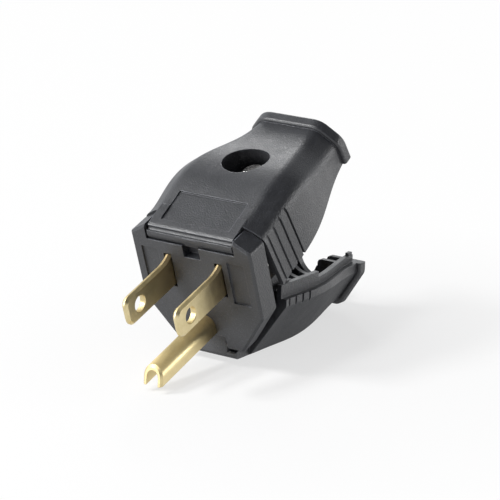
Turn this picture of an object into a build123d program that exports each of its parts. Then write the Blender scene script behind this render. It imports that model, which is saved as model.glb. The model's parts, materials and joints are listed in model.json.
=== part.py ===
from build123d import *
import os
from math import atan2, cos, degrees, hypot, radians, sin

# Grounded plug, wired by its user: a face block with two blades and a ground pin, and two covers
# that swing open on hinges at the face. Lengths are in millimetres.
# Own axes while modelling: the mating face lies in the plane y = 0, the blades point to -Y,
# the covers reach to +Y, and the blades stand about the plane z = 0. Both covers are modelled shut.
# At the end the covers swing open and the plug is laid down as it comes to rest.

# Blades and ground pin
blade_spacing = 12.7
blade_width = 6.7
blade_drop = 0.2
blade_thickness = 1.5
blade_length = 16.6
blade_tip_radius = 2.0
blade_tip_bevel = 0.55
blade_hole_diameter = 3.5
blade_hole_from_tip = 4.4
blade_hole_bevel = 0.12
blade_flare = 0.9
blade_flare_length = 3.6
blade_inner_length = 14.6
pin_drop = 12.1
pin_diameter = 4.76
pin_length = 20.6
pin_wall = 0.95
pin_leg = 1.6
pin_nose_run = 1.7
pin_nose_bevel = 0.45
pin_terminal_gap = 0.4

# Face block
face_width = 30.0
block_depth = 5.2
block_top = 10.4
side_top = 8.1
side_bottom = 7.9
ear_x = 11.0
keel = 19.9
foot_x = 6.5
face_chamfer = 0.5
block_corner_radius = 1.0
label_inner_x = 8.6
label_outer_x = 12.8
label_height = 10.0
label_depth = 0.4

# Terminal carrier behind the face
carrier_half_width = 11.4
carrier_depth = 11.0
carrier_top = 6.2
carrier_low = 7.6
carrier_bottom = 14.6
carrier_ground_half_width = 5.0
pocket_half_height = 4.6
ground_pocket_half_width = 3.7

# Hinges
upper_hinge_y = 2.1
upper_nose_radius = 2.0
upper_tongue_half_width = 10.6
upper_pin_radius = 0.8
face_lip_top = 7.0
lower_hinge_y = 1.3
lower_hinge_z = -17.1
lower_foot_radius = 0.9
lower_plate_gap = 0.2
lower_plate_half_width = 6.2
lower_barrel_radius = 0.85
lower_barrel_half_width = 4.0
lower_pin_radius = 0.5
hinge_pin_length = 1.1
hinge_side_gap = 0.4
hinge_play = 0.1
pin_play = 0.08
nose_groove_radius = 0.55
nose_groove_angle = 130.0
upper_tab_half_width = 1.75
upper_tab_rise = 0.9
upper_tab_depth = 2.2
lower_tab_half_width = 3.6
lower_tab_height = 2.5
tab_front = 0.25
tab_thickness = 1.3
tab_window_gap = 0.3
upper_window_drop = 2.7
lower_window_rise = 2.8

# Covers
cover_gap = 0.3
parting = -6.3
parting_gap = 0.2
wall = 1.9
collar_end = 42.5
collar_thickness = 2.6
collar_lip = 1.05
collar_edge_radius = 0.6
end_wall = 1.6
width_taper_start = 17.0
top_taper_start = 15.5
bottom_taper_start = 22.0
neck_half_width = 10.4
neck_top = 3.0
neck_bottom = 15.7
neck_side_bottom = 8.4
neck_foot_x = 5.8
shoulder_run = 4.2
shoulder_drop = 2.7
neck_shoulder_run = 3.6
neck_shoulder_drop = 4.0
shoulder_radius = 3.4
keel_radius = 1.0
stations = 6

# Grips, label field and screw well on the covers
groove_count = 4
groove_pitch = 2.5
groove_first = 6.9
groove_width = 0.6
groove_depth = 0.45
groove_top = 7.6
cover_label_half_width = 8.5
cover_label_front = 3.4
cover_label_rear = 11.5
screw_y = 24.2
well_diameter = 10.0
well_floor = 2.0
boss_wall = 1.5
boss_floor = 2.2

# Tongue of the lower cover and the rabbet that takes it
tongue_inset = 1.35
tongue_thickness = 1.15
tongue_height = 2.8
tongue_rear_height = 1.5
tongue_step = 19.9
tongue_end_gap = 0.4
tongue_root = 1.4
tongue_lug_length = 1.7
tongue_lug_rise = 0.6
tongue_lug_inset = 0.15
rabbet_play = 0.3

# Cord saddles
cord_radius = 5.2
saddle_thickness = 1.2
saddle_corner_radius = 0.9
lower_saddle_first = 33.0
lower_saddle_pitch = 3.8
upper_saddle = 34.9
collar_bore_radius = 5.6

# Fasteners
cover_screw_radius = 1.75
cover_screw_head_radius = 3.4
cover_screw_head_height = 2.2
cover_screw_length = 15.2
screw_play = 0.15
thread_play = 0.06
nut_width = 6.8
nut_height = 2.6
nut_top = 10.2
nut_boss_radius = 5.4
nut_boss_rise = 0.6
nut_play = 0.1
terminal_screw_radius = 1.6
terminal_head_radius = 3.0
terminal_head_height = 1.6
terminal_screw_length = 5.4
terminal_from_end = 4.0
clamp_length = 6.6
clamp_width = 6.4
clamp_thickness = 1.2
clamp_gap = 0.3
slot_play = 0.2
drive_slot_width = 0.9
drive_slot_depth = 0.9

# Pose in which the plug lies: both covers stand open
upper_open = 15.0
lower_open = 20.5

# Values worked out from the sizes above
blade_x = blade_spacing / 2
pin_radius = pin_diameter / 2
half_face = face_width / 2
cover_front = block_depth + cover_gap
upper_hinge_z = block_top - upper_nose_radius
block_bottom = lower_foot_radius - lower_hinge_z
terminal_y = blade_inner_length - terminal_from_end
pin_inner_length = terminal_y - clamp_length / 2 - pin_terminal_gap
upper_slot_half_width = upper_tongue_half_width + hinge_side_gap
lower_window_half_width = lower_barrel_half_width + hinge_side_gap
plate_thickness = keel - block_bottom - lower_plate_gap
upper_floor = parting + parting_gap / 2
lower_ceiling = parting - parting_gap / 2
cavity_end = collar_end - end_wall
boss_radius = well_diameter / 2 + boss_wall
boss_bottom = well_floor - boss_floor
rabbet_inset = tongue_inset - rabbet_play
saddle_z = parting + tongue_rear_height
block_foot_x = half_face - (half_face - foot_x) * (block_bottom - side_bottom) / (keel - side_bottom)
ear_round = cover_front - upper_hinge_y - hinge_play
clamp_x = blade_x + blade_thickness / 2 + clamp_gap
far = 100.0

upper_axis = Axis((0, upper_hinge_y, upper_hinge_z), (1, 0, 0))
lower_axis = Axis((0, lower_hinge_y, lower_hinge_z), (1, 0, 0))


def cross_plane(y):
    """Plane across the plug at y, seen from the blades, with local X and Y along +X and +Z."""
    return Plane.XZ.offset(-y)


def ease(share):
    """Smooth step from 0 to 1."""
    share = min(max(share, 0.0), 1.0)
    return share * share * (3 - 2 * share)


def taper(y, start, first, last):
    """Value that stays at first up to start and eases to last at the end of the collar."""
    return first + (last - first) * ease((y - start) / (collar_end - start))


def half_width(y):
    return taper(y, width_taper_start, half_face, neck_half_width)


def station_list(first, last):
    """Evenly spaced places along the plug for lofted sections and plan curves."""
    return [first + (last - first) * i / (stations - 1) for i in range(stations)]


def upper_section(y, inset, floor):
    """Section of the upper cover at y, drawn in from its skin by inset and open down to floor."""
    w = half_width(y)
    top = taper(y, top_taper_start, block_top, neck_top)
    run = taper(y, top_taper_start, shoulder_run, neck_shoulder_run)
    drop = taper(y, top_taper_start, shoulder_drop, neck_shoulder_drop)
    low = floor - inset
    with BuildSketch(cross_plane(y)) as section:
        with BuildLine():
            Polyline(
                (-w, low), (-w, top - drop), (run - w, top), (w - run, top), (w, top - drop), (w, low),
                close=True,
            )
        make_face()
        if inset:
            offset(amount=-inset, kind=Kind.INTERSECTION, mode=Mode.REPLACE)
        fillet(section.vertices().sort_by(Axis.Y)[2:], radius=shoulder_radius - inset)
    return section.sketch


def lower_section(y, inset, ceiling):
    """Section of the lower cover at y, drawn in from its skin by inset and open up to ceiling."""
    w = half_width(y)
    side = taper(y, bottom_taper_start, -side_bottom, -neck_side_bottom)
    bottom = taper(y, bottom_taper_start, -keel, -neck_bottom)
    foot = taper(y, bottom_taper_start, foot_x, neck_foot_x)
    high = ceiling + inset
    with BuildSketch(cross_plane(y)) as section:
        with BuildLine():
            Polyline(
                (-w, high), (-w, side), (-foot, bottom), (foot, bottom), (w, side), (w, high),
                close=True,
            )
        make_face()
        if inset:
            offset(amount=-inset, kind=Kind.INTERSECTION, mode=Mode.REPLACE)
        fillet(section.vertices().sort_by(Axis.Y)[:4], radius=keel_radius)
    return section.sketch


def wall_band(first, last, outer, inner, z):
    """Pair of strips in plan that follow the side walls, from inset outer to inset inner."""
    places = station_list(first, last)
    with BuildSketch(Plane.XY.offset(z)) as band:
        with BuildLine():
            Spline([(half_width(y) - outer, y) for y in places])
            Spline([(half_width(y) - inner, y) for y in places])
            Line((half_width(first) - outer, first), (half_width(first) - inner, first))
            Line((half_width(last) - outer, last), (half_width(last) - inner, last))
        make_face()
        mirror(about=Plane.YZ)
    return band.sketch


def saddle(y, arch_z, low, high):
    """Plate across a cover at y with a round hollow for the cord about arch_z."""
    with BuildPart() as plate:
        with BuildSketch(cross_plane(y)):
            with Locations((0, (low + high) / 2)):
                Rectangle(face_width, high - low)
            with Locations((0, arch_z)):
                Circle(cord_radius, mode=Mode.SUBTRACT)
        extrude(amount=saddle_thickness / 2, both=True)
    return plate.part


def pin_section(y, leg, grow):
    """Arch of the ground pin at y, with legs down to leg below its centre, grown by a clearance."""
    r = pin_radius + grow
    with BuildSketch(cross_plane(y)) as section:
        with Locations((0, -pin_drop)):
            Circle(r)
            Rectangle(2 * r, leg + grow, align=(Align.CENTER, Align.MAX))
            with Locations((0, -leg - grow)):
                Rectangle(2 * r, 2 * r, align=(Align.CENTER, Align.MAX), mode=Mode.SUBTRACT)
    return section.sketch


def screw(shank_radius, shank_length, head_radius, head_height):
    """Slotted screw along -Z with the underside of its head at z = 0."""
    with BuildPart() as piece:
        Cylinder(head_radius, head_height, align=(Align.CENTER, Align.CENTER, Align.MIN))
        chamfer(piece.faces().sort_by(Axis.Z)[-1].edges(), length=head_height / 4)
        with Locations((0, 0, head_height)):
            Box(2 * head_radius, drive_slot_width, 2 * drive_slot_depth, mode=Mode.SUBTRACT)
        Cylinder(shank_radius, shank_length, align=(Align.CENTER, Align.CENTER, Align.MAX))
        chamfer(piece.faces().sort_by(Axis.Z)[0].edges(), length=shank_radius / 4)
    return piece.part


# Material taken off the ears' rear top edges and off the front edge of the foot
with BuildPart() as ear_relief:
    with Locations((0, upper_hinge_y, upper_hinge_z)):
        Box(2 * face_width, far, far, align=(Align.CENTER, Align.MIN, Align.MIN))
    with Locations(Location((0, upper_hinge_y, upper_hinge_z), (0, 90, 0))):
        Cylinder(ear_round, 3 * face_width, mode=Mode.SUBTRACT)
with BuildPart() as foot_relief:
    with Locations((0, lower_hinge_y, lower_hinge_z)):
        Box(2 * face_width, far, far, align=(Align.CENTER, Align.MAX, Align.MAX))
    with Locations(Location((0, lower_hinge_y, lower_hinge_z), (0, 90, 0))):
        Cylinder(lower_foot_radius, 3 * face_width, mode=Mode.SUBTRACT)

# Face block with its terminal carrier
with BuildPart() as front_block:
    with BuildSketch(Plane.XZ):
        with BuildLine():
            Polyline(
                (-half_face, -side_bottom), (-half_face, side_top), (-ear_x, block_top), (ear_x, block_top),
                (half_face, side_top), (half_face, -side_bottom), (block_foot_x, -block_bottom),
                (-block_foot_x, -block_bottom), close=True,
            )
        make_face()
    extrude(amount=-block_depth)
    fillet(front_block.edges().filter_by(Axis.Y), radius=block_corner_radius)
    chamfer(front_block.faces().sort_by(Axis.Y)[0].edges(), length=face_chamfer)
    with BuildSketch(cross_plane(block_depth)):
        with BuildLine():
            Polyline(
                (-carrier_half_width, -carrier_low), (-carrier_half_width, carrier_top),
                (carrier_half_width, carrier_top), (carrier_half_width, -carrier_low),
                (carrier_ground_half_width, -carrier_bottom), (-carrier_ground_half_width, -carrier_bottom),
                close=True,
            )
        make_face()
    extrude(amount=-carrier_depth)

    # Slots that the blades pass through, and the arched hole for the ground pin
    with BuildSketch(Plane.XZ):
        with Locations((-blade_x, blade_flare / 2 - blade_drop), (blade_x, blade_flare / 2 - blade_drop)):
            Rectangle(blade_thickness + 2 * slot_play, blade_width + blade_flare + 2 * slot_play)
    extrude(amount=-block_depth, mode=Mode.SUBTRACT)
    extrude(
        pin_section(0, pin_leg, pin_play), amount=-(pin_inner_length + slot_play), mode=Mode.SUBTRACT,
    )

    # Terminal pockets, open to the sides and the rear for the blades, and downwards for the ground
    pocket_inner = blade_x - blade_thickness / 2
    pocket_width = carrier_half_width - pocket_inner
    for side in (-1, 1):
        with Locations((side * (pocket_inner + pocket_width / 2), block_depth, 0)):
            Box(
                pocket_width, carrier_depth, 2 * pocket_half_height,
                align=(Align.CENTER, Align.MIN, Align.CENTER), mode=Mode.SUBTRACT,
            )
    with Locations((0, block_depth, clamp_thickness - pin_drop)):
        Box(
            2 * ground_pocket_half_width, carrier_depth, carrier_bottom,
            align=(Align.CENTER, Align.MIN, Align.MAX), mode=Mode.SUBTRACT,
        )
    with Locations(Location((0, terminal_y, 0), (0, 90, 0))):
        Cylinder(terminal_screw_radius + screw_play, 2 * blade_x, mode=Mode.SUBTRACT)
    with Locations((0, terminal_y, -pin_drop)):
        Cylinder(
            terminal_screw_radius + screw_play, terminal_screw_length,
            align=(Align.CENTER, Align.CENTER, Align.MIN), mode=Mode.SUBTRACT,
        )

    # Upper hinge: slot between the ears, round seat for the nose, sockets for the hinge pins
    with Locations((0, upper_hinge_y, face_lip_top)):
        Box(
            2 * upper_slot_half_width, 2 * upper_hinge_y, block_top,
            align=(Align.CENTER, Align.MAX, Align.MIN), mode=Mode.SUBTRACT,
        )
    with Locations((0, upper_hinge_y, block_top - wall - hinge_side_gap)):
        Box(
            2 * upper_slot_half_width, block_depth, block_top,
            align=(Align.CENTER, Align.MIN, Align.MIN), mode=Mode.SUBTRACT,
        )
    with Locations(Location((0, upper_hinge_y, upper_hinge_z), (0, 90, 0))):
        Cylinder(upper_nose_radius + hinge_play, 2 * upper_slot_half_width, mode=Mode.SUBTRACT)
        Cylinder(
            upper_pin_radius + pin_play,
            2 * (upper_tongue_half_width + hinge_pin_length + hinge_side_gap), mode=Mode.SUBTRACT,
        )

    # Windows in which the covers' stop tabs swing
    upper_tab_low = upper_tab_depth - upper_tab_rise
    upper_tab_reach = hypot(upper_hinge_y - tab_front, upper_tab_low)
    upper_window_half_width = upper_tab_half_width + tab_window_gap
    with Locations((0, upper_hinge_y, face_lip_top - upper_window_drop)):
        Box(
            2 * upper_window_half_width, 2 * upper_hinge_y, block_top,
            align=(Align.CENTER, Align.MAX, Align.MIN), mode=Mode.SUBTRACT,
        )
    with Locations(Location((0, upper_hinge_y, upper_hinge_z), (0, 90, 0))):
        Cylinder(upper_tab_reach + tab_window_gap, 2 * upper_window_half_width, mode=Mode.SUBTRACT)
    lower_tab_reach = hypot(lower_barrel_radius, lower_tab_height)
    with Locations((0, lower_hinge_y, lower_hinge_z + lower_window_rise)):
        Box(
            2 * lower_window_half_width, 2 * lower_hinge_y, far,
            align=(Align.CENTER, Align.MAX, Align.MAX), mode=Mode.SUBTRACT,
        )
    with Locations(Location((0, lower_hinge_y, lower_hinge_z), (0, 90, 0))):
        Cylinder(lower_tab_reach + tab_window_gap, 2 * lower_window_half_width, mode=Mode.SUBTRACT)
        Cylinder(
            lower_pin_radius + pin_play,
            2 * (lower_barrel_half_width + hinge_pin_length + hinge_side_gap), mode=Mode.SUBTRACT,
        )

    # Edges rounded about the hinges so that the covers clear them as they swing
    add(ear_relief.part, mode=Mode.SUBTRACT)
    add(foot_relief.part, mode=Mode.SUBTRACT)

    # Bare label fields beside the blades
    with BuildSketch(Plane.XZ):
        with GridLocations(label_inner_x + label_outer_x, 0, 2, 1):
            Rectangle(label_outer_x - label_inner_x, label_height)
    extrude(amount=-label_depth, mode=Mode.SUBTRACT)

# Half collars at the rear end with rounded rims
with BuildPart() as upper_collar:
    with BuildSketch(cross_plane(collar_end)):
        add(upper_section(collar_end, 0, upper_floor))
        offset(amount=collar_lip, kind=Kind.ARC, mode=Mode.REPLACE)
        with Locations((0, upper_floor)):
            Rectangle(
                3 * face_width, face_width, align=(Align.CENTER, Align.MAX), mode=Mode.SUBTRACT,
            )
    extrude(amount=collar_thickness)
    rims = upper_collar.edges().filter_by(Axis.Y, reverse=True)
    fillet(rims.filter_by_position(Axis.Z, upper_floor + keel_radius, far), radius=collar_edge_radius)
with BuildPart() as lower_collar:
    with BuildSketch(cross_plane(collar_end)):
        add(lower_section(collar_end, 0, lower_ceiling))
        offset(amount=collar_lip, kind=Kind.ARC, mode=Mode.REPLACE)
        with Locations((0, lower_ceiling)):
            Rectangle(
                3 * face_width, face_width, align=(Align.CENTER, Align.MIN), mode=Mode.SUBTRACT,
            )
    extrude(amount=collar_thickness)
    rims = lower_collar.edges().filter_by(Axis.Y, reverse=True)
    fillet(rims.filter_by_position(Axis.Z, -far, lower_ceiling - keel_radius), radius=collar_edge_radius)

# Hollow of the upper cover, less the screw boss and the cord saddle that stand in it
with BuildPart() as upper_hollow:
    loft([upper_section(y, wall, upper_floor) for y in station_list(cover_front, cavity_end)])
    with Locations((0, screw_y, boss_bottom)):
        Cylinder(
            boss_radius, far, align=(Align.CENTER, Align.CENTER, Align.MIN), mode=Mode.SUBTRACT,
        )
    add(saddle(upper_saddle, 2 * parting - saddle_z, parting, far / 2), mode=Mode.SUBTRACT)

# Upper cover
with BuildPart() as upper_cover:
    loft([upper_section(y, 0, upper_floor) for y in station_list(cover_front, collar_end)])
    add(upper_collar.part)
    add(upper_hollow.part, mode=Mode.SUBTRACT)

    # Tongue that runs forward between the ears, its round nose and hinge pins
    with Locations((0, upper_hinge_y, block_top)):
        Box(
            2 * upper_tongue_half_width, cover_front + wall - upper_hinge_y, wall,
            align=(Align.CENTER, Align.MIN, Align.MAX),
        )
    with Locations(Location((0, upper_hinge_y, upper_hinge_z), (0, 90, 0))):
        Cylinder(upper_nose_radius, 2 * upper_tongue_half_width)
        Cylinder(upper_pin_radius, 2 * (upper_tongue_half_width + hinge_pin_length))
    groove_y = upper_hinge_y + upper_nose_radius * cos(radians(nose_groove_angle))
    groove_z = upper_hinge_z + upper_nose_radius * sin(radians(nose_groove_angle))
    with Locations(Location((0, groove_y, groove_z), (0, 90, 0))):
        Cylinder(nose_groove_radius, 2 * upper_tongue_half_width, mode=Mode.SUBTRACT)
    with Locations((0, tab_front, upper_hinge_z + upper_tab_rise)):
        Box(
            2 * upper_tab_half_width, tab_thickness, upper_tab_depth,
            align=(Align.CENTER, Align.MIN, Align.MAX),
        )

    # Rabbet for the lower cover's tongue
    rabbet_height = tongue_height + rabbet_play
    extrude(
        wall_band(cover_front, cavity_end, rabbet_inset, tongue_inset + tongue_thickness + rabbet_play, parting),
        amount=rabbet_height, mode=Mode.SUBTRACT,
    )

    # Screw well, cord way through the collar, grip grooves and the bare label field
    with Locations((0, screw_y, well_floor)):
        Cylinder(
            well_diameter / 2, far, align=(Align.CENTER, Align.CENTER, Align.MIN), mode=Mode.SUBTRACT,
        )
        Cylinder(cover_screw_radius + screw_play, far, mode=Mode.SUBTRACT)
    with Locations(Location((0, collar_end, parting), (90, 0, 0))):
        Cylinder(collar_bore_radius, 2 * end_wall, mode=Mode.SUBTRACT)
    for side in (-1, 1):
        with Locations((side * half_face, groove_first + groove_pitch * (groove_count - 1) / 2, parting)):
            with GridLocations(0, groove_pitch, 1, groove_count):
                Box(
                    2 * groove_depth, groove_width, groove_top - parting,
                    align=(Align.CENTER, Align.CENTER, Align.MIN), mode=Mode.SUBTRACT,
                )
    with BuildSketch(Plane.XY.offset(block_top)):
        with Locations((0, (cover_label_front + cover_label_rear) / 2)):
            Rectangle(2 * cover_label_half_width, cover_label_rear - cover_label_front)
    extrude(amount=-label_depth, mode=Mode.SUBTRACT)

# Hollow of the lower cover, less the nut boss and the cord saddles that stand in it
boss_top = nut_boss_rise - nut_top
with BuildPart() as lower_hollow:
    loft([lower_section(y, wall, lower_ceiling) for y in station_list(cover_front, cavity_end)])
    with Locations((0, screw_y, boss_top)):
        Cylinder(
            nut_boss_radius, far, align=(Align.CENTER, Align.CENTER, Align.MAX), mode=Mode.SUBTRACT,
        )
    for i in range(2):
        add(
            saddle(lower_saddle_first + i * lower_saddle_pitch, saddle_z, -far / 2, parting),
            mode=Mode.SUBTRACT,
        )

# Lower cover
with BuildPart() as lower_cover:
    loft([lower_section(y, 0, lower_ceiling) for y in station_list(cover_front, collar_end)])
    add(lower_collar.part)
    add(lower_hollow.part, mode=Mode.SUBTRACT)

    # Tongue along the side walls, higher in front
    tongue_inner = tongue_inset + tongue_thickness
    tongue_base = parting - tongue_root
    tongue_end = cavity_end - tongue_end_gap
    extrude(
        wall_band(cover_front, tongue_step, tongue_inset, tongue_inner, tongue_base),
        amount=tongue_root + tongue_height,
    )
    extrude(
        wall_band(tongue_step, tongue_end, tongue_inset, tongue_inner, tongue_base),
        amount=tongue_root + tongue_rear_height,
    )
    extrude(
        wall_band(
            tongue_end - tongue_lug_inset - tongue_lug_length, tongue_end - tongue_lug_inset,
            tongue_inset + tongue_lug_inset, tongue_inner - tongue_lug_inset, parting,
        ),
        amount=tongue_rear_height + tongue_lug_rise,
    )
    for i in range(2):
        y = lower_saddle_first + i * lower_saddle_pitch
        shoulder = half_width(y) - tongue_inset - tongue_thickness / 2 - cord_radius
        with BuildSketch(cross_plane(y)) as shoulders:
            with Locations((0, tongue_base)):
                with GridLocations(2 * cord_radius + shoulder, 0, 2, 1):
                    Rectangle(
                        shoulder, tongue_root + tongue_rear_height, align=(Align.CENTER, Align.MIN),
                    )
            inner_corners = shoulders.vertices().group_by(Axis.Y)[-1].sort_by(Axis.X)[1:3]
            fillet(inner_corners, radius=saddle_corner_radius)
        extrude(amount=saddle_thickness / 2, both=True)

    # Plate under the face block with a round front edge, then the hinge barrel, pins and stop tab
    nose_z = plate_thickness / 2 - keel
    with Locations((0, lower_hinge_y, nose_z)):
        Box(
            2 * lower_plate_half_width, cover_front + wall - lower_hinge_y, plate_thickness,
            align=(Align.CENTER, Align.MIN, Align.CENTER),
        )
        Box(
            2 * lower_barrel_half_width, 2 * lower_barrel_radius, lower_hinge_z - nose_z,
            align=(Align.CENTER, Align.CENTER, Align.MIN),
        )
    with Locations(Location((0, lower_hinge_y, nose_z), (0, 90, 0))):
        Cylinder(plate_thickness / 2, 2 * lower_plate_half_width)
    with Locations(Location((0, lower_hinge_y, lower_hinge_z), (0, 90, 0))):
        Cylinder(lower_barrel_radius, 2 * lower_barrel_half_width)
        Cylinder(lower_pin_radius, 2 * (lower_barrel_half_width + hinge_pin_length))
    with Locations((0, lower_hinge_y - lower_barrel_radius, lower_hinge_z)):
        Box(
            2 * lower_tab_half_width, tab_thickness, lower_tab_height,
            align=(Align.CENTER, Align.MIN, Align.MIN),
        )

    # Nut pocket with the screw's way below it, cord way through the collar and grip marks
    with Locations((0, screw_y, boss_top)):
        Box(
            nut_width + 2 * nut_play, nut_width + 2 * nut_play, nut_boss_rise + nut_height,
            align=(Align.CENTER, Align.CENTER, Align.MAX), mode=Mode.SUBTRACT,
        )
        Cylinder(
            cover_screw_radius + screw_play, cover_screw_length - well_floor - nut_top + 2 * nut_boss_rise,
            align=(Align.CENTER, Align.CENTER, Align.MAX), mode=Mode.SUBTRACT,
        )
    with Locations(Location((0, collar_end, parting), (90, 0, 0))):
        Cylinder(collar_bore_radius, 2 * end_wall, mode=Mode.SUBTRACT)
    for side in (-1, 1):
        with Locations((side * half_face, groove_first + groove_pitch * (groove_count - 1) / 2, parting)):
            with GridLocations(0, groove_pitch, 1, groove_count):
                Box(
                    2 * groove_depth, groove_width, side_bottom - parting,
                    align=(Align.CENTER, Align.CENTER, Align.MAX), mode=Mode.SUBTRACT,
                )


def blade(x):
    """Flat blade at x with a bevelled tip, a hole, a flared root and a tapped inner end."""
    top = blade_width / 2 - blade_drop
    low = top - blade_width
    root = top + blade_flare
    with BuildPart() as piece:
        with BuildSketch(Plane.YZ.offset(x)) as outline:
            with BuildLine():
                Polyline(
                    (0, root), (blade_inner_length, root), (blade_inner_length, low),
                    (-blade_length, low), (-blade_length, top), (-blade_flare_length, top),
                )
                TangentArc((-blade_flare_length, top), (0, root), tangent=(1, 0))
            make_face()
            fillet(outline.vertices().group_by(Axis.X)[0], radius=blade_tip_radius)
        extrude(amount=blade_thickness / 2, both=True)
        tip_edges = piece.edges().filter_by(Axis.X, reverse=True)
        chamfer(
            tip_edges.filter_by_position(Axis.Y, -far, blade_tip_radius - blade_length), length=blade_tip_bevel,
        )
        with Locations(Location((x, blade_hole_from_tip - blade_length, -blade_drop), (0, 90, 0))):
            Cylinder(blade_hole_diameter / 2, 2 * blade_thickness, mode=Mode.SUBTRACT)
        hole_rims = piece.edges(Select.LAST).filter_by(GeomType.CIRCLE)
        chamfer(hole_rims, length=blade_hole_bevel)
        with Locations(Location((x, terminal_y, 0), (0, 90, 0))):
            Cylinder(terminal_screw_radius + thread_play, 2 * blade_thickness, mode=Mode.SUBTRACT)
    return piece.part


line_blade = blade(-blade_x)
neutral_blade = blade(blade_x)

# Ground pin: folded to an arch with two legs and open below, its front cut back at the top and bevelled,
# with a flat inner terminal
pin_top = pin_radius - pin_drop
pin_low = -pin_leg - pin_drop
with BuildPart() as ground_pin:
    extrude(pin_section(pin_inner_length, pin_leg, 0), amount=pin_inner_length + pin_length)
    with BuildSketch(Plane.YZ):
        with BuildLine():
            Polyline(
                (pin_inner_length, pin_top), (pin_nose_run - pin_length, pin_top), (-pin_length, pin_low),
                (pin_inner_length, pin_low), close=True,
            )
        make_face()
    extrude(amount=pin_diameter, both=True, mode=Mode.INTERSECT)
    front_edges = ground_pin.faces().sort_by(Axis.Y)[0].edges()
    chamfer(front_edges.filter_by_position(Axis.Z, pin_low + pin_leg / 4, far), length=pin_nose_bevel)
    with BuildSketch(cross_plane(pin_inner_length)):
        with Locations((0, -pin_drop)):
            Circle(pin_radius - pin_wall)
            Rectangle(2 * (pin_radius - pin_wall), 2 * pin_leg, align=(Align.CENTER, Align.MAX))
    extrude(amount=pin_inner_length + pin_length, mode=Mode.SUBTRACT)
    with Locations((0, pin_inner_length - clamp_thickness, -pin_drop)):
        Box(
            clamp_width, terminal_y + clamp_length / 2 - pin_inner_length + clamp_thickness, clamp_thickness,
            align=(Align.CENTER, Align.MIN, Align.CENTER),
        )
    with Locations((0, terminal_y, -pin_drop)):
        Cylinder(terminal_screw_radius + thread_play, 2 * clamp_thickness, mode=Mode.SUBTRACT)

# Wire clamp plate with rounded corners, on the plane z = 0
with BuildPart() as clamp:
    Box(clamp_width, clamp_length, clamp_thickness, align=(Align.CENTER, Align.CENTER, Align.MIN))
    fillet(clamp.edges().filter_by(Axis.Z), radius=clamp_thickness / 2)
    Cylinder(terminal_screw_radius + screw_play, 4 * clamp_thickness, mode=Mode.SUBTRACT)

# Square nut, top face at z = 0
with BuildPart() as nut:
    Box(nut_width, nut_width, nut_height, align=(Align.CENTER, Align.CENTER, Align.MAX))
    Cylinder(cover_screw_radius + thread_play, 4 * nut_height, mode=Mode.SUBTRACT)
    chamfer(nut.faces().sort_by(Axis.Z)[-1].outer_wire().edges(), length=nut_height / 8)

terminal_screw = screw(
    terminal_screw_radius, terminal_screw_length, terminal_head_radius, terminal_head_height,
)
cover_screw = screw(
    cover_screw_radius, cover_screw_length, cover_screw_head_radius, cover_screw_head_height,
)

# Fasteners and clamps in their places
head_x = clamp_x + clamp_thickness
on_right = Location((head_x, terminal_y, 0), (0, 90, 0))
on_left = Location((-head_x, terminal_y, 0), (0, -90, 0))
ground_clamp_z = -pin_drop - clamp_thickness / 2 - clamp_gap
ground_head = Location((0, terminal_y, ground_clamp_z - clamp_thickness), (180, 0, 0))
fixed_pieces = {
    "front_block": front_block.part,
    "line_blade": line_blade,
    "neutral_blade": neutral_blade,
    "ground_pin": ground_pin.part,
    "line_screw": terminal_screw.moved(on_left),
    "neutral_screw": terminal_screw.moved(on_right),
    "ground_screw": terminal_screw.moved(ground_head),
    "line_clamp": clamp.part.moved(Location((-clamp_x, terminal_y, 0), (0, -90, 0))),
    "neutral_clamp": clamp.part.moved(Location((clamp_x, terminal_y, 0), (0, 90, 0))),
    "ground_clamp": clamp.part.moved(Location((0, terminal_y, ground_clamp_z), (180, 0, 0))),
}
upper_pieces = {
    "upper_cover": upper_cover.part,
    "cover_screw": cover_screw.moved(Location((0, screw_y, well_floor))),
}
lower_pieces = {
    "lower_cover": lower_cover.part,
    "cover_nut": nut.part.moved(Location((0, screw_y, -nut_top))),
}

# The covers swing open, then the plug lies down on its ground pin and its lower collar
opened = dict(fixed_pieces)
for name, piece in upper_pieces.items():
    opened[name] = piece.rotate(upper_axis, upper_open)
for name, piece in lower_pieces.items():
    opened[name] = piece.rotate(lower_axis, -lower_open)
collar_reach = collar_end - lower_hinge_y
collar_low = -neck_bottom - collar_lip - lower_hinge_z
swing = radians(lower_open)
touch_y = lower_hinge_y + collar_reach * cos(swing) + collar_low * sin(swing)
touch_z = lower_hinge_z - collar_reach * sin(swing) + collar_low * cos(swing)
pin_touch_y = -pin_length
pin_touch_z = -pin_drop - pin_leg
lie_angle = degrees(atan2(pin_touch_z - touch_z, touch_y - pin_touch_y))

os.makedirs("parts", exist_ok=True)
for name, piece in opened.items():
    laid = piece.rotate(Axis.X, lie_angle)
    laid.label = name
    export_step(laid, f"parts/{name}.step")
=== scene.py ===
import json
from math import atan2, cos, radians, sin

import bpy
from mathutils import Euler, Matrix, Vector


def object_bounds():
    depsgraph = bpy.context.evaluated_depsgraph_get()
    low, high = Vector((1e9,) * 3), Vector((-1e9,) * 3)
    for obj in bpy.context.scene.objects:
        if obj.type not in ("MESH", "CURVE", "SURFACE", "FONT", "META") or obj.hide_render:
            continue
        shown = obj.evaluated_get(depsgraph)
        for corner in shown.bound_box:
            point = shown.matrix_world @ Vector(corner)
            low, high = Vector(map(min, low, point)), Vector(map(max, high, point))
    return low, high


# Sockets of the Mix node: several share a name, so they go by number.
MIX_FACTOR = 0
FLOAT_A, FLOAT_B, FLOAT_OUT = 2, 3, 0
COLOUR_A, COLOUR_B, COLOUR_OUT = 6, 7, 2

# Rounding of edges in the shading, for plastic and metal
BEVEL_SAMPLES = 6

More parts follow.
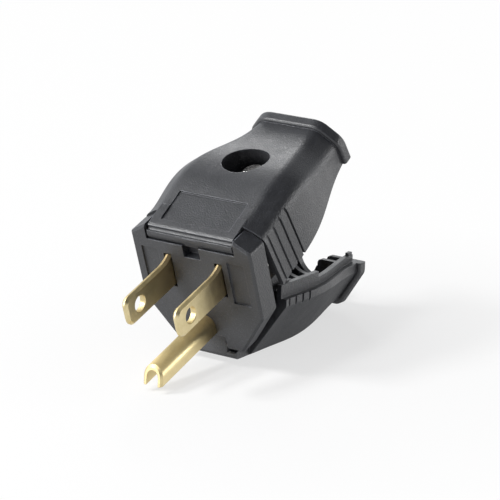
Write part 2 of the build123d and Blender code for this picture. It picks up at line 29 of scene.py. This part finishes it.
# Plastic: lengths in metres, the rest are shares and factors.
MOULDED_EDGE = 0.00022
GRAIN_HEIGHT = 0.00006
PIT_SHARE = 0.35
# Painted glints on the grain are this many times paler than the light tone.
GLINT_PALER = 2.6
# The painted highlight on edges is this many times paler than the light tone.
EDGE_HIGHLIGHT_PALER = 8
UNDERSIDE_DULLER = 0.34
PLASTIC_SPECULAR = 0.7

# Metal: lengths in metres, the root's along the plug's axis from its face.
METAL_EDGE = 0.00012
SCRATCH_HEIGHT = 0.00004
DENT_SHARE = 0.8
ROOT_START, ROOT_END, ROOT_DARKENING = -0.0085, -0.0005, 0.8

# Studio: lengths in metres, light levels where 1 is white.
FLOOR_SIZE = 6.0
FLOOR_TONE = 0.9
FLOOR_ROUGHNESS = 0.9
SHADOW_NEAR, SHADOW_FAR = 0.03, 0.10
WHITE_NEAR, WHITE_FAR = 0.66, 0.96
SKY_TINT = (0.95, 0.97, 1.0)
SKY_TILT = (0.45, 0.0, 1.0)
WALL_TOP, CEILING_START = 0.38, 0.66
WALL_LEVEL, CEILING_LEVEL, FILL_LEVEL = 1.0, 0.10, 0.22

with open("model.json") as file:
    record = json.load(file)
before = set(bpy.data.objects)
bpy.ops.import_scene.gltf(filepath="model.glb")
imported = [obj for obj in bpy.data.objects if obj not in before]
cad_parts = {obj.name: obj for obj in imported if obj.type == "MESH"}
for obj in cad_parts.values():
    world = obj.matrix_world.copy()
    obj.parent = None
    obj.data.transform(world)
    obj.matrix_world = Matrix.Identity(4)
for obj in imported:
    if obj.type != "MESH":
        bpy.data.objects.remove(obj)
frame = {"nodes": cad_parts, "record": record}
cad_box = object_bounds()
nodes = frame["nodes"]

# The plug lies nose down: the angle comes from the direction in which its face looks.
face = next(m for m in frame["record"]["mounts"] if m["name"] == "mating_face")
lie = atan2(-face["axis"][2], -face["axis"][1])
lay = Matrix.Rotation(lie, 4, "X")
along = (0.0, cos(lie), sin(lie))


class Net:
    """Short ways to build a node tree."""

    def __init__(self, node_tree):
        self.tree = node_tree

    def add(self, kind, **values):
        """New node, with values for its sockets or its own settings."""
        node = self.tree.nodes.new(kind)
        for key, value in values.items():
            if key in node.inputs:
                node.inputs[key].default_value = value
            else:
                setattr(node, key, value)
        return node

    def join(self, source, out, target, into):
        """Links an output to an input."""
        self.tree.links.new(source.outputs[out], target.inputs[into])

    def ramp(self, source, out, low, high, first, last):
        """Maps a value from low..high onto first..last."""
        node = self.add("ShaderNodeMapRange")
        node.inputs["From Min"].default_value = low
        node.inputs["From Max"].default_value = high
        node.inputs["To Min"].default_value = first
        node.inputs["To Max"].default_value = last
        self.join(source, out, node, "Value")
        return node

    def maths(self, operation, *terms):
        """Math on terms that are plain numbers or pairs of a node and its output."""
        node = self.add("ShaderNodeMath", operation=operation)
        for place, term in enumerate(terms):
            if isinstance(term, tuple):
                self.join(*term, node, place)
            else:
                node.inputs[place].default_value = term
        return node

    def noise(self, source, out, scale, detail, roughness):
        """Cloudy pattern over a coordinate, scale in features per metre."""
        node = self.add("ShaderNodeTexNoise", Scale=scale, Detail=detail, Roughness=roughness)
        self.join(source, out, node, "Vector")
        return node

    def blend(self, factor, out, first, last):
        """Colour between two others, by a value. The first is a colour or another blend."""
        node = self.add("ShaderNodeMix", data_type="RGBA")
        if isinstance(first, tuple):
            node.inputs[COLOUR_A].default_value = (*first, 1)
        else:
            self.join(first, COLOUR_OUT, node, COLOUR_A)
        node.inputs[COLOUR_B].default_value = (*last, 1)
        self.join(factor, out, node, MIX_FACTOR)
        return node

    def emboss(self, shader, bump, height, out, rounded):
        """Gives a shader a height pattern on top of its rounded edges."""
        self.join(height, out, bump, "Height")
        self.join(rounded, "Normal", bump, "Normal")
        self.join(bump, "Normal", shader, "Normal")

    def seen(self):
        """1 for what the camera sees straight, mirrored or through glass, and 0 for other light."""
        ray = self.add("ShaderNodeLightPath")
        either = self.maths("MAXIMUM", (ray, "Is Camera Ray"), (ray, "Is Glossy Ray"))
        return self.maths("MAXIMUM", (either, "Value"), (ray, "Is Transmission Ray"))


def shaded(name):
    """New material, with its net and its shader."""
    material = bpy.data.materials.new(name)
    material.use_nodes = True
    return material, Net(material.node_tree), material.node_tree.nodes["Principled BSDF"]


def brighter(colour, times):
    """Colour with each part multiplied."""
    return tuple(part * times for part in colour)


def moulding(name, dark, light, grain, sheen_low, sheen_high):
    """Dark moulded plastic: fine grain, deeper on the side walls, painted glints on the grain, a painted
    highlight on edges that face up, duller underside.
    """
    material, net, shader = shaded(name)
    place = net.add("ShaderNodeTexCoord")
    fine = net.noise(place, "Object", scale=3400.0, detail=2.0, roughness=0.6)
    mottle = net.noise(place, "Object", scale=260.0, detail=4.0, roughness=0.65)
    pits = net.add("ShaderNodeTexVoronoi", Scale=2800.0)
    net.join(place, "Object", pits, "Vector")

    # An edge is where the rounded normal turns away from the flat one.
    rounded = net.add("ShaderNodeBevel", samples=BEVEL_SAMPLES, Radius=MOULDED_EDGE)
    geometry = net.add("ShaderNodeNewGeometry")
    facing = net.add("ShaderNodeVectorMath", operation="DOT_PRODUCT")
    net.join(rounded, "Normal", facing, 0)
    net.join(geometry, "True Normal", facing, 1)
    edge = net.ramp(facing, "Value", low=0.975, high=0.82, first=0.0, last=1.0)
    # Patches that break up the painted highlight on the edges.
    highlight_breakup = net.ramp(mottle, "Fac", low=0.35, high=0.65, first=0.25, last=1.0)
    edge_highlight_patches = net.maths("MULTIPLY", (edge, "Result"), (highlight_breakup, "Result"))

    side = net.add("ShaderNodeSeparateXYZ")
    net.join(geometry, "Normal", side, "Vector")
    flank = net.maths("ABSOLUTE", (side, "X"))
    wall = net.ramp(flank, "Value", low=0.72, high=0.97, first=0.7, last=1.3)
    skyward = net.ramp(side, "Z", low=0.05, high=0.5, first=0.15, last=1.0)
    downward = net.ramp(side, "Z", low=-0.2, high=-0.55, first=0.0, last=1.0)

    # Painted glints: pale specks on the grain, stronger on the side walls, stand in for sparkle of light
    # on the grain.
    glint_specks = net.ramp(fine, "Fac", low=0.54, high=0.72, first=0.0, last=0.7)
    painted_glints = net.maths("MULTIPLY", (glint_specks, "Result"), (wall, "Result"))
    # Painted highlight on the edges, strongest where an edge faces up.
    painted_edge_highlight = net.maths("MULTIPLY", (edge_highlight_patches, "Value"), (skyward, "Result"))
    tone = net.blend(mottle, "Fac", dark, light)
    glinted_tone = net.blend(painted_glints, "Value", tone, brighter(light, GLINT_PALER))
    highlighted_tone = net.blend(painted_edge_highlight, "Value", glinted_tone, brighter(light, EDGE_HIGHLIGHT_PALER))
    net.join(highlighted_tone, COLOUR_OUT, shader, "Base Color")

    gloss = net.ramp(mottle, "Fac", low=0.3, high=0.7, first=sheen_low, last=sheen_high)
    duller = net.maths("MULTIPLY_ADD", (downward, "Result"), UNDERSIDE_DULLER, (gloss, "Result"))
    net.join(duller, "Value", shader, "Roughness")
    shader.inputs["Specular IOR Level"].default_value = PLASTIC_SPECULAR

    relief = net.add("ShaderNodeMix", data_type="FLOAT")
    relief.inputs[MIX_FACTOR].default_value = PIT_SHARE
    net.join(fine, "Fac", relief, FLOAT_A)
    net.join(pits, "Distance", relief, FLOAT_B)
    deep = net.maths("MULTIPLY", (wall, "Result"), grain)
    bump = net.add("ShaderNodeBump", Distance=GRAIN_HEIGHT)
    net.join(deep, "Value", bump, "Strength")
    net.emboss(shader, bump, relief, FLOAT_OUT, rounded)
    return material


def drawn_metal(name, low, high, root_dark, rough_low, rough_high, direction, pitting, sheared):
    """Satin metal: drawing lines, fine scratches, a darker patchy colour towards the root, rougher where
    a cut face looks up.
    """
    material, net, shader = shaded(name)
    place = net.add("ShaderNodeTexCoord")
    stretch = net.add("ShaderNodeMapping", Rotation=(-lie, 0, 0), Scale=direction)
    net.join(place, "Object", stretch, "Vector")
    lines = net.noise(stretch, "Vector", scale=900.0, detail=5.0, roughness=0.7)
    cloud = net.noise(place, "Object", scale=380.0, detail=6.0, roughness=0.7)
    scuff = net.noise(place, "Object", scale=2600.0, detail=2.0, roughness=0.5)

    depth = net.add("ShaderNodeVectorMath", operation="DOT_PRODUCT")
    net.join(place, "Object", depth, 0)
    depth.inputs[1].default_value = along
    # Colour turns darker in patches towards the plug's face, along its axis.
    root = net.ramp(depth, "Value", low=ROOT_START, high=ROOT_END, first=0.0, last=ROOT_DARKENING)
    spots = net.ramp(cloud, "Fac", low=0.3, high=0.6, first=0.35, last=1.0)
    patchy = net.maths("MULTIPLY", (root, "Result"), (spots, "Result"))
    tone = net.blend(cloud, "Fac", low, high)
    dull = net.blend(patchy, "Value", tone, root_dark)
    net.join(dull, COLOUR_OUT, shader, "Base Color")
    shader.inputs["Metallic"].default_value = 1.0

    gloss = net.ramp(lines, "Fac", low=0.3, high=0.7, first=rough_low, last=rough_high)
    geometry = net.add("ShaderNodeNewGeometry")
    side = net.add("ShaderNodeSeparateXYZ")
    net.join(geometry, "Normal", side, "Vector")
    cut = net.ramp(side, "Z", low=0.4, high=0.7, first=0.0, last=sheared)
    rougher = net.maths("ADD", (gloss, "Result"), (cut, "Result"))
    net.join(rougher, "Value", shader, "Roughness")

    rounded = net.add("ShaderNodeBevel", samples=BEVEL_SAMPLES, Radius=METAL_EDGE)
    relief = net.maths("ADD", (lines, "Fac"), (scuff, "Fac"))
    dents = net.maths("MULTIPLY_ADD", (cloud, "Fac"), DENT_SHARE, (relief, "Value"))
    bump = net.add("ShaderNodeBump", Strength=pitting, Distance=SCRATCH_HEIGHT)
    net.emboss(shader, bump, dents, "Value", rounded)
    return material


body_plastic = moulding(
    "body_plastic",
    dark=(0.016, 0.0168, 0.0195),
    light=(0.027, 0.0284, 0.033),
    grain=1.9,
    sheen_low=0.34,
    sheen_high=0.46,
)
brass = drawn_metal(
    "contact_brass",
    low=(0.62, 0.50, 0.25),
    high=(0.87, 0.74, 0.43),
    root_dark=(0.36, 0.26, 0.13),
    rough_low=0.28,
    rough_high=0.48,
    direction=(1.0, 0.06, 1.0),
    pitting=0.3,
    sheared=0.28,
)
blade_brass = drawn_metal(
    "blade_brass",
    low=(0.50, 0.40, 0.19),
    high=(0.87, 0.76, 0.48),
    root_dark=(0.36, 0.26, 0.14),
    rough_low=0.26,
    rough_high=0.50,
    direction=(1.0, 0.3, 0.25),
    pitting=0.35,
    sheared=0.3,
)
steel = drawn_metal(
    "screw_steel",
    low=(0.62, 0.61, 0.60),
    high=(0.88, 0.88, 0.87),
    root_dark=(0.55, 0.53, 0.51),
    rough_low=0.12,
    rough_high=0.32,
    direction=(1.0, 1.0, 0.2),
    pitting=1.1,
    sheared=0.0,
)

# Pieces that are not named here, the screws and the nut, are steel.
finishes = {
    "front_block": body_plastic,
    "upper_cover": body_plastic,
    "lower_cover": body_plastic,
    "line_blade": blade_brass,
    "neutral_blade": blade_brass,
    "ground_pin": brass,
    "line_clamp": brass,
    "neutral_clamp": brass,
    "ground_clamp": brass,
}
for name, piece in nodes.items():
    piece.data.materials.clear()
    piece.data.materials.append(finishes.get(name, steel))


def backdrop_material():
    """White floor that keeps a soft shadow and shows white to the camera and in reflections."""
    material, net, shader = shaded("floor")
    shader.inputs["Base Color"].default_value = (FLOOR_TONE, FLOOR_TONE, FLOOR_TONE, 1)
    shader.inputs["Roughness"].default_value = FLOOR_ROUGHNESS
    shader.inputs["Specular IOR Level"].default_value = 0.0
    glow = net.add("ShaderNodeEmission", Color=(1, 1, 1, 1), Strength=1.0)
    place = net.add("ShaderNodeTexCoord")
    reach = net.add("ShaderNodeVectorMath", operation="LENGTH")
    net.join(place, "Object", reach, 0)
    spread = net.ramp(reach, "Value", SHADOW_NEAR, SHADOW_FAR, WHITE_NEAR, WHITE_FAR)
    share = net.maths("MULTIPLY", (net.seen(), "Value"), (spread, "Result"))
    blend = net.add("ShaderNodeMixShader")
    net.join(share, "Value", blend, 0)
    net.join(shader, "BSDF", blend, 1)
    net.join(glow, "Emission", blend, 2)
    net.join(blend, "Shader", material.node_tree.nodes["Material Output"], "Surface")
    return material


middle = Vector((0.0, 0.012, 0.0))
floor_z = cad_box[0][2]
bpy.ops.mesh.primitive_plane_add(size=FLOOR_SIZE, location=(middle.x, middle.y, floor_z))
floor = bpy.context.object
floor.name = "floor"
floor.data.materials.append(backdrop_material())


def softbox(name, place, width, height, watts):
    """Rectangular studio lamp aimed at the middle of the plug."""
    lamp = bpy.data.lights.new(name, "AREA")
    lamp.shape = "RECTANGLE"
    lamp.size = width
    lamp.size_y = height
    lamp.energy = watts
    holder = bpy.data.objects.new(name, lamp)
    bpy.context.collection.objects.link(holder)
    holder.location = place
    holder.rotation_euler = (middle - Vector(place)).to_track_quat("-Z", "Y").to_euler()


softbox("crest_light", (-0.42, 0.61, 0.40), width=0.14, height=0.14, watts=0.65)
softbox("right_light", (0.58, 0.62, 0.11), width=0.6, height=0.22, watts=2.1)
softbox("front_light", (-0.40, -0.82, 0.16), width=0.6, height=0.3, watts=4.2)
softbox("ridge_light", (-0.46, -0.38, 0.58), width=0.24, height=0.10, watts=4.6)
softbox("top_light", (-0.20, -0.30, 0.78), width=0.14, height=0.14, watts=1.8)

world = bpy.data.worlds.new("studio")
bpy.context.scene.world = world
world.use_nodes = True
sky = Net(world.node_tree)
around = world.node_tree.nodes["Background"]
around.inputs["Color"].default_value = (*SKY_TINT, 1)

# What is seen or mirrored: white walls, higher on the left, under a dim ceiling.
# All other light from the sky is even and dim.
heading = sky.add("ShaderNodeTexCoord")
rise = sky.add("ShaderNodeVectorMath", operation="DOT_PRODUCT")
rise.inputs[1].default_value = SKY_TILT
sky.join(heading, "Generated", rise, 0)
walls = sky.ramp(rise, "Value", WALL_TOP, CEILING_START, WALL_LEVEL, CEILING_LEVEL)
level = sky.add("ShaderNodeMix", data_type="FLOAT")
level.inputs[FLOAT_A].default_value = FILL_LEVEL
sky.join(sky.seen(), "Value", level, MIX_FACTOR)
sky.join(walls, "Result", level, FLOAT_B)
sky.join(level, FLOAT_OUT, around, "Strength")

# Camera at the photograph's angle, given in the plug's own axes and laid down with it.
view_place = Vector((0.284201, -0.330751, 0.27068))
view_turn = Euler((radians(57.9944), radians(9.684), radians(33.0994)), "XYZ")
camera_data = bpy.data.cameras.new("camera")
camera_data.sensor_width = 36.0
camera_data.lens = 180.0
camera_data.clip_start = 0.01
camera = bpy.data.objects.new("camera", camera_data)
bpy.context.collection.objects.link(camera)
camera.matrix_world = lay @ Matrix.Translation(view_place) @ view_turn.to_matrix().to_4x4()
bpy.context.scene.camera = camera
bpy.context.scene.view_settings.view_transform = "Standard"
